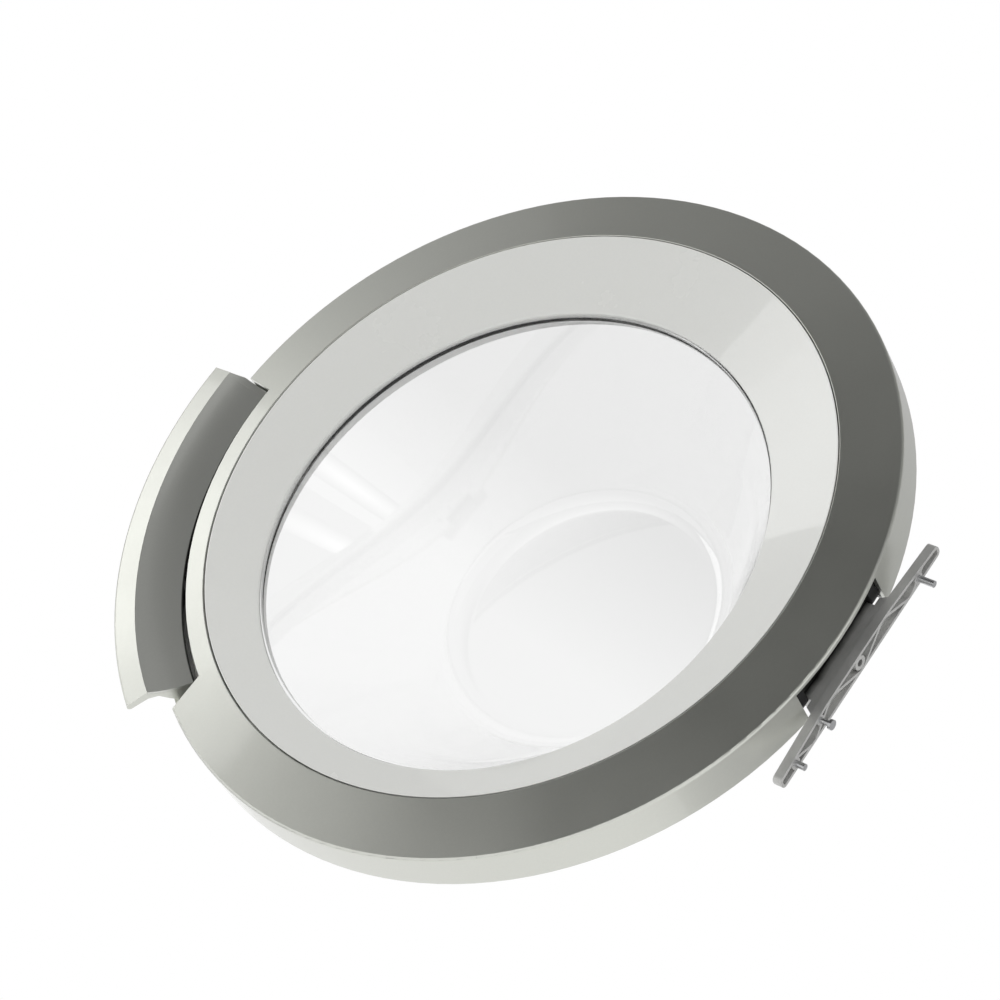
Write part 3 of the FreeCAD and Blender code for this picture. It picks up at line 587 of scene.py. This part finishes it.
@dataclass
class GlassBowl:
    """Pressed glass bowl: a slanted cone with a rounded bottom and a flat flange round its mouth."""

    node: str = "glass_bowl"
    slot: str = "clear_glass"
    wall: float = 0.0045
    flange: float = 0.005
    mouth_radius: float = 0.159
    mouth_round: float = 0.0015
    taper: float = 0.069
    bottom_rise: float = 0.0144
    bottom_round: float = 0.017
    flange_round: float = 0.0008
    root_round: float = 0.002
    cap_radius: float = 0.04
    wall_steps: int = 14
    segments: int = 256
    arc_step: float = 4.0
    smooth_angle: float = 50.0

    def build(self, material: bpy.types.Material) -> None:
        """Models the bowl in the place of its CAD node.

        Args:
            material: Its glass.
        """
        low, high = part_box(self.node)
        axis = ((low[0] + high[0]) / 2, (low[2] + high[2]) / 2)
        piece = loft("pressed_bowl", self.rings((high[0] - low[0]) / 2, low[1], high[1]), axis, self.segments)
        bpy.ops.object.shade_smooth_by_angle(angle=math.radians(self.smooth_angle))
        finish_piece(piece, self.node, Body.DOOR, material)

    def rings(self, flange_radius: float, front: float, back: float) -> list[Ring]:
        """Circles of the wall, from the inside of the bottom round the mouth to the outside of the bottom.

        Args:
            flange_radius: Outer radius of the flange.
            front: Depth of the flange's front.
            back: Depth of the outside of the bottom.

        Returns:
            The circles in order.
        """
        bottom = back - self.wall
        bottom_radius = self.mouth_radius - self.taper
        slope = self.taper / (bottom - front)
        back_radius = bottom_radius + self.wall * (1 - slope)
        root = self.mouth_radius + self.wall - slope * self.flange
        turn = math.radians(self.arc_step)
        inside = rounded([
            (self.cap_radius, bottom, 0.0), (bottom_radius, bottom, self.bottom_round),
            (self.mouth_radius, front, self.mouth_round), (flange_radius, front, self.flange_round),
            (flange_radius, front + self.flange / 2, 0.0)], turn)
        outside = rounded([
            (flange_radius, front + self.flange / 2, 0.0), (flange_radius, front + self.flange, self.flange_round),
            (root, front + self.flange, self.root_round),
            (back_radius, back, self.bottom_round + self.wall), (self.cap_radius, back, 0.0)], turn)
        rings = []
        for radius, depth in self.eased(inside) + self.eased(outside[1:]):
            along = (depth - front) / (bottom - front)
            rings.append(Ring(radius, depth, self.bottom_rise * along if radius < root else 0.0))
        return rings

    def eased(self, outline: list[Vector]) -> list[Vector]:
        """Divides the long straight wall of an outline, with shorter steps next to its roundings.

        Args:
            outline: Points of the outline.

        Returns:
            The points with those of the wall between them.
        """
        points = [outline[0]]
        for here, after in zip(outline, outline[1:]):
            steps = self.wall_steps if (after - here).length > self.taper else 1
            for step in range(1, steps + 1):
                points.append(here.lerp(after, (1 - math.cos(math.pi * step / steps)) / 2))
        return points


@dataclass
class InlayEnd:
    """Upper end of the handle's inlay, which runs on over the gap beside the notch.

    Fields hold the door's axis, radius and depth of the face's inner and outer edge, its hollow, the wall, the angle
    of the CAD inlay's end, and how far the strip runs on past it at the inner edge and at the ring's rim.
    """

    name: str = "inlay_upper_end"
    slot: str = "grey_plastic"
    axis: Point = DOOR_AXIS
    inner: tuple[float, float] = (0.21535, -0.0217)
    outer: tuple[float, float] = (0.2408, -0.033)
    sag: float = 0.0017
    thickness: float = 0.0014
    end_angle: float = 177.82
    rim_radius: float = 0.233
    reach_inner: float = 0.0024
    reach_rim: float = 0.003
    overlap: float = 0.0014
    steps: int = 16
    smooth_angle: float = 35.0

    def build(self, material: bpy.types.Material) -> None:
        """Models the end as a bent strip with a wall.

        Args:
            material: Finish of the inlay.
        """
        bpy.ops.object.select_all(action="DESELECT")
        bpy.ops.mesh.primitive_grid_add(x_subdivisions=self.steps, y_subdivisions=1, size=1.0)
        piece = bpy.context.object
        piece.name = self.name
        piece.data.name = self.name
        for vertex in piece.data.vertices:
            vertex.co = self.place(vertex.co.x + GRID_HALF, vertex.co.y + GRID_HALF)
        wall = piece.modifiers.new("wall", "SOLIDIFY")
        wall.thickness = self.thickness
        wall.offset = 1.0
        bpy.ops.object.modifier_apply(modifier=wall.name)
        bpy.ops.object.mode_set(mode="EDIT")
        bpy.ops.mesh.select_all(action="SELECT")
        bpy.ops.mesh.normals_make_consistent(inside=False)
        bpy.ops.object.mode_set(mode="OBJECT")
        bpy.ops.object.shade_smooth_by_angle(angle=math.radians(self.smooth_angle))
        piece.data.materials.append(material)
        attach(piece, Body.HANDLE.value)
        LOG.info("%s: modelled, %s", self.name, material.name)

    def place(self, along: float, across: float) -> Vector:
        """Point of the hollow face.

        Args:
            along: Share of the way from the inner edge to the lip.
            across: Share of the way from the CAD inlay's end to the new end.

        Returns:
            The point.
        """
        inner, outer = Vector(self.inner), Vector(self.outer)
        chord = outer - inner
        back = Vector((-chord.y, chord.x)).normalized()
        section = inner + chord * along + back * self.sag * 4 * along * (1 - along)
        if section.x < self.rim_radius:
            share = (section.x - self.inner[0]) / (self.rim_radius - self.inner[0])
            reach = self.reach_inner + (self.reach_rim - self.reach_inner) * share
        else:
            reach = self.reach_rim * (self.outer[0] - section.x) / (self.outer[0] - self.rim_radius)
        arc = -self.overlap + (reach + self.overlap) * across
        angle = math.radians(self.end_angle) - arc / section.x
        return Vector((
            self.axis[0] + section.x * math.cos(angle), section.y, self.axis[2] + section.x * math.sin(angle)))


@dataclass
class ScrewSet:
    """Pan-head screws with a cross recess and a rolled thread, one mesh for each set."""

    node: str
    slot: str = "zinc_steel"
    shank_radius: float = 0.0019
    head_radius: float = 0.004
    head_height: float = 0.0022
    head_round: float = 0.0016
    head_middle: float = 0.0004
    plain_shank: float = 0.0012
    thread_pitch: float = 0.0012
    thread_depth: float = 0.0004
    point_length: float = 0.0016
    point_radius: float = 0.000475
    recess_length: float = 0.0046
    recess_width: float = 0.0011
    recess_depth: float = 0.0013
    recess_taper: float = 0.55
    segments: int = 40
    arc_step: float = 12.0
    smooth_angle: float = 35.0

    def build(self, cad: bpy.types.Object, material: bpy.types.Material) -> None:
        """Models one screw and copies it to every place of the CAD node.

        Args:
            cad: The CAD node's object.
            material: Its finish.
        """
        low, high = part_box(self.node)
        places = self.places(cad, low[1])
        first = loft(self.node + "_cross_recess", self.rings(low[1], high[1]), places[0], self.segments)
        bpy.ops.object.shade_smooth_by_angle(angle=math.radians(self.smooth_angle))
        for turn in (0.0, UPRIGHT):
            self.cut_recess(first, (places[0][0], high[1], places[0][1]), turn)
        copies = [first]
        for place in places[1:]:
            copy = first.copy()
            copy.data = first.data.copy()
            bpy.context.collection.objects.link(copy)
            copy.location = (place[0] - places[0][0], 0.0, place[1] - places[0][1])
            copies.append(copy)
        bpy.ops.object.select_all(action="DESELECT")
        for copy in copies:
            copy.select_set(True)
        bpy.context.view_layer.objects.active = first
        bpy.ops.object.join()
        finish_piece(first, self.node, Body.DOOR, material)

    def places(self, cad: bpy.types.Object, tip: float) -> list[tuple[float, float]]:
        """Finds the axis of each screw from the end of its shank.

        Args:
            cad: The CAD node's object.
            tip: Depth of the shanks' ends.

        Returns:
            X and Z of each axis.
        """
        ends: list[list[Vector]] = []
        for vertex in cad.data.vertices:
            if vertex.co.y > tip + self.thread_depth:
                continue
            near = [end for end in ends if (end[0] - vertex.co).length < self.head_radius]
            if near:
                near[0].append(vertex.co)
            else:
                ends.append([vertex.co])
        return [
            ((min(p.x for p in end) + max(p.x for p in end)) / 2, (min(p.z for p in end) + max(p.z for p in end)) / 2)
            for end in ends]

    def rings(self, tip: float, top: float) -> list[Ring]:
        """Circles of a screw, from its head to its point.

        Args:
            tip: Depth of the point.
            top: Depth of the head's top.

        Returns:
            The circles in order.
        """
        seat = top - self.head_height
        outline = rounded([
            (self.head_middle, top, 0.0), (self.head_radius, top, self.head_round),
            (self.head_radius, seat, 0.0)], math.radians(self.arc_step))
        rings = [Ring(point.x, point.y) for point in outline]
        rings.append(Ring(self.shank_radius, seat))
        depth = seat - self.plain_shank
        while depth - self.thread_pitch > tip + self.point_length:
            rings.append(Ring(self.shank_radius, depth))
            rings.append(Ring(self.shank_radius - self.thread_depth, depth - self.thread_pitch / 2))
            depth -= self.thread_pitch
        rings.append(Ring(self.shank_radius, depth))
        rings.append(Ring(self.point_radius, tip))
        return rings

    def cut_recess(self, piece: bpy.types.Object, top: Point, turn: float) -> None:
        """Presses one arm of the cross into the head.

        Args:
            piece: The screw.
            top: Middle of the head's top.
            turn: Turn of the arm about the screw's axis.
        """
        bpy.ops.object.select_all(action="DESELECT")
        bpy.ops.mesh.primitive_cube_add(size=1.0, location=top)
        arm = bpy.context.object
        arm.scale = (self.recess_length, 2 * self.recess_depth, self.recess_width)
        bpy.ops.object.mode_set(mode="EDIT")
        bpy.ops.mesh.select_all(action="DESELECT")
        bpy.ops.object.mode_set(mode="OBJECT")
        for face in arm.data.polygons:
            face.select = face.normal.y < FACES_DOWN_HOLE
        bpy.ops.object.mode_set(mode="EDIT")
        bpy.ops.transform.resize(
            value=(self.recess_taper, 1.0, self.recess_taper), center_override=top)
        bpy.ops.object.mode_set(mode="OBJECT")
        arm.rotation_euler = (0.0, turn, 0.0)
        bpy.ops.object.transform_apply(location=True, rotation=True, scale=True)
        bpy.ops.object.select_all(action="DESELECT")
        piece.select_set(True)
        bpy.context.view_layer.objects.active = piece
        cut = piece.modifiers.new("recess", "BOOLEAN")
        cut.operation = "DIFFERENCE"
        cut.object = arm
        bpy.ops.object.modifier_apply(modifier=cut.name)
        bpy.data.objects.remove(arm, do_unlink=True)


# Stage


@dataclass(frozen=True)
class Card:
    """Card round the object, which only glossy surfaces see. A soft one fades towards its edges, as a window does."""

    name: str
    centre: Point
    width: float
    height: float
    turn: Point
    tone: float
    soft: bool = False

    def build(self) -> None:
        """Stands the card up, hidden from everything but reflections."""
        bpy.ops.mesh.primitive_plane_add(size=1.0, location=self.centre, rotation=self.turn)
        card = bpy.context.object
        card.name = self.name
        card.scale = (self.width, self.height, 1.0)
        card.visible_camera = False
        card.visible_diffuse = False
        card.visible_transmission = False
        card.visible_shadow = False
        material = bpy.data.materials.new(self.name)
        material.use_nodes = True
        nodes, links = material.node_tree.nodes, material.node_tree.links
        glow = nodes.new("ShaderNodeEmission")
        glow.inputs["Color"].default_value = (self.tone, self.tone, self.tone, 1.0)
        links.new(glow.outputs["Emission"], nodes["Material Output"].inputs["Surface"])
        if self.soft:
            links.new(self.fade(material.node_tree), glow.inputs["Strength"])
        card.data.materials.append(material)

    @staticmethod
    def fade(tree: bpy.types.NodeTree) -> bpy.types.NodeSocket:
        """Lets a window's glow fade from its middle to its edges.

        Args:
            tree: Node tree of the card's material.

        Returns:
            The strength of the glow over the card.
        """
        place = tree.nodes.new("ShaderNodeTexCoord")
        wide = tree.nodes.new("ShaderNodeVectorMath")
        wide.operation = "SCALE"
        wide.inputs["Scale"].default_value = MIDDLE_TO_EDGE
        ball = tree.nodes.new("ShaderNodeTexGradient")
        ball.gradient_type = "SPHERICAL"
        tree.links.new(place.outputs["Object"], wide.inputs[0])
        tree.links.new(wide.outputs["Vector"], ball.inputs["Vector"])
        return ball.outputs["Fac"]


CARDS = (
    Card("front_card", (-4.0, -7.5, 1.9), 12.0, 5.1, (UPRIGHT, 0.0, 0.0), 0.04),
    Card("front_upper_card", (-4.0, -7.5, 5.75), 12.0, 2.6, (UPRIGHT, 0.0, 0.0), 0.09),
    Card("front_low_card", (-2.0, -5.0, -0.6), 10.0, 5.0, (0.0, 0.0, 0.0), 0.05),
    Card("front_right_card", (6.0, -7.5, 3.2), 8.0, 7.7, (UPRIGHT, 0.0, 0.0), 0.4),
    Card("left_card", (-9.0, -2.75, 3.2), 9.5, 7.7, (UPRIGHT, 0.0, UPRIGHT), 0.42),
    Card("top_front_card", (0.0, -3.75, 7.0), 24.0, 10.5, (0.0, 0.0, 0.0), 0.22),
    Card("top_back_card", (0.0, 7.0, 7.0), 24.0, 11.0, (0.0, 0.0, 0.0), 0.5),
    Card("right_low_card", (3.2, 3.6, -0.6), 5.0, 5.0, (0.0, 0.0, 0.0), 0.45),
    Card("right_card", (6.0, 7.0, 3.2), 10.0, 7.7, (UPRIGHT, 0.0, UPRIGHT), 0.36),
    Card("low_window", (6.0, -1.6, 2.2), 0.7, 1.3, (UPRIGHT, 0.0, UPRIGHT), 3.0, soft=True),
    Card("high_window", (6.0, -1.5, 6.2), 1.1, 2.6, (UPRIGHT, 0.0, UPRIGHT), 3.0, soft=True),
)


@dataclass
class Studio:
    """Floor, white background, soft light, cards and camera."""

    door_centre: Point = (-0.238, -0.03, 0.0)
    floor_height: float = -0.62
    floor_size: float = 30.0
    floor_colour: Colour = (0.94, 0.94, 0.94)
    floor_roughness: float = 0.9
    world_level: float = 1.0
    haze_start: float = 16.5
    haze_end: float = 19.6
    haze_level: float = 0.87
    softbox_azimuth: float = 55.5
    softbox_elevation: float = 6.5
    softbox_distance: float = 6.0
    softbox_width: float = 2.5
    softbox_height: float = 2.1
    softbox_power: float = 26.5
    eye: Point = (0.7928, -1.3226, -0.5512)
    gaze: Point = (-0.5942, 0.7403, 0.3144)
    roll: float = 35.92
    lens: float = 108.0
    sensor: float = 36.0

    def build(self) -> None:
        """Makes everything round the object."""
        self.background()
        self.floor()
        self.softbox()
        for card in CARDS:
            card.build()
        self.camera()

    def background(self) -> None:
        """Lights the scene evenly, and shows plain white to camera and glossy rays and a haze higher up to glass."""
        world = bpy.data.worlds.new("white_room")
        bpy.context.scene.world = world
        world.use_nodes = True
        nodes, links = world.node_tree.nodes, world.node_tree.links
        even = nodes["Background"]
        even.inputs["Color"].default_value = WHITE
        even.inputs["Strength"].default_value = self.world_level
        path = nodes.new("ShaderNodeLightPath")
        place = nodes.new("ShaderNodeTexCoord")
        height = nodes.new("ShaderNodeSeparateXYZ")
        haze = nodes.new("ShaderNodeMapRange")
        haze.inputs["From Min"].default_value = math.sin(math.radians(self.haze_start))
        haze.inputs["From Max"].default_value = math.sin(math.radians(self.haze_end))
        haze.inputs["To Min"].default_value = 1.0
        haze.inputs["To Max"].default_value = self.haze_level
        links.new(place.outputs["Generated"], height.inputs["Vector"])
        links.new(height.outputs["Z"], haze.inputs["Value"])
        shown = even.outputs["Background"]
        for ray, strength in ((Ray.CAMERA, None), (Ray.GLOSSY, None), (Ray.TRANSMISSION, haze.outputs["Result"])):
            white = nodes.new("ShaderNodeBackground")
            white.inputs["Color"].default_value = WHITE
            if strength:
                links.new(strength, white.inputs["Strength"])
            mix = nodes.new("ShaderNodeMixShader")
            links.new(path.outputs[ray.value], mix.inputs["Fac"])
            links.new(shown, mix.inputs[1])
            links.new(white.outputs["Background"], mix.inputs[2])
            shown = mix.outputs["Shader"]
        links.new(shown, nodes["World Output"].inputs["Surface"])

    def floor(self) -> None:
        """Plain pale floor, below the camera's view."""
        bpy.ops.mesh.primitive_plane_add(size=self.floor_size, location=(0.0, 0.0, self.floor_height))
        floor = bpy.context.object
        floor.name = "floor"
        material = bpy.data.materials.new("pale_floor")
        material.use_nodes = True
        surface = material.node_tree.nodes["Principled BSDF"]
        surface.inputs["Base Color"].default_value = (*self.floor_colour, 1.0)
        surface.inputs["Roughness"].default_value = self.floor_roughness
        floor.data.materials.append(material)

    @staticmethod
    def direction(azimuth: float, elevation: float) -> Vector:
        """Direction from the door, with azimuth counted from the front towards the handle's side.

        Args:
            azimuth: Degrees from -Y towards -X.
            elevation: Degrees above the horizon.

        Returns:
            A unit vector.
        """
        turn, rise = math.radians(azimuth), math.radians(elevation)
        return Vector((-math.sin(turn) * math.cos(rise), -math.cos(turn) * math.cos(rise), math.sin(rise)))

    def softbox(self) -> None:
        """Large soft lamp beside the door, on the handle's side."""
        towards = self.direction(self.softbox_azimuth, self.softbox_elevation)
        data = bpy.data.lights.new("softbox", "AREA")
        data.shape = "RECTANGLE"
        data.size = self.softbox_width
        data.size_y = self.softbox_height
        data.energy = self.softbox_power
        lamp = bpy.data.objects.new("softbox", data)
        lamp.location = Vector(self.door_centre) + towards * self.softbox_distance
        lamp.rotation_mode = "QUATERNION"
        lamp.rotation_quaternion = (-towards).to_track_quat("-Z", "Y")
        bpy.context.collection.objects.link(lamp)

    def camera(self) -> None:
        """Camera at the photograph's viewing angle."""
        data = bpy.data.cameras.new("camera")
        data.lens = self.lens
        data.sensor_width = self.sensor
        camera = bpy.data.objects.new("camera", data)
        look = Vector(self.gaze).to_track_quat("-Z", "Y").to_matrix()
        camera.matrix_world = Matrix.Translation(self.eye) @ (
            look @ Matrix.Rotation(math.radians(self.roll), 3, "Z")).to_4x4()
        bpy.context.collection.objects.link(camera)
        bpy.context.scene.camera = camera


def light_paths(scene: bpy.types.Scene) -> None:
    """Lets light pass through the bowl's wall as often as it needs to.

    Args:
        scene: Scene with the part.
    """
    scene.cycles.max_bounces = LIGHT_BOUNCES
    scene.cycles.transmission_bounces = LIGHT_BOUNCES


def main() -> None:
    """Loads the frame, dresses it, and builds the stage round it."""
    logging.basicConfig(level=logging.INFO, format="%(message)s")
    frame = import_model()
    bpy.ops.object.select_all(action="DESELECT")
    bpy.context.scene.view_settings.view_transform = "Standard"
    effects = Effects.build()
    materials = DressedNodes().dress(frame["nodes"], effects)
    GlassBowl().build(materials[CLEAR_GLASS.name])
    InlayEnd().build(materials[INLAY_LACQUER.name])
    for node in ("frame_screws", "hinge_plate_screws", "latch_screws"):
        ScrewSet(node).build(frame["nodes"][node], materials[ZINC_PLATE.name])
    Studio().build()
    light_paths(bpy.context.scene)


if __name__ == "__main__":
    main()
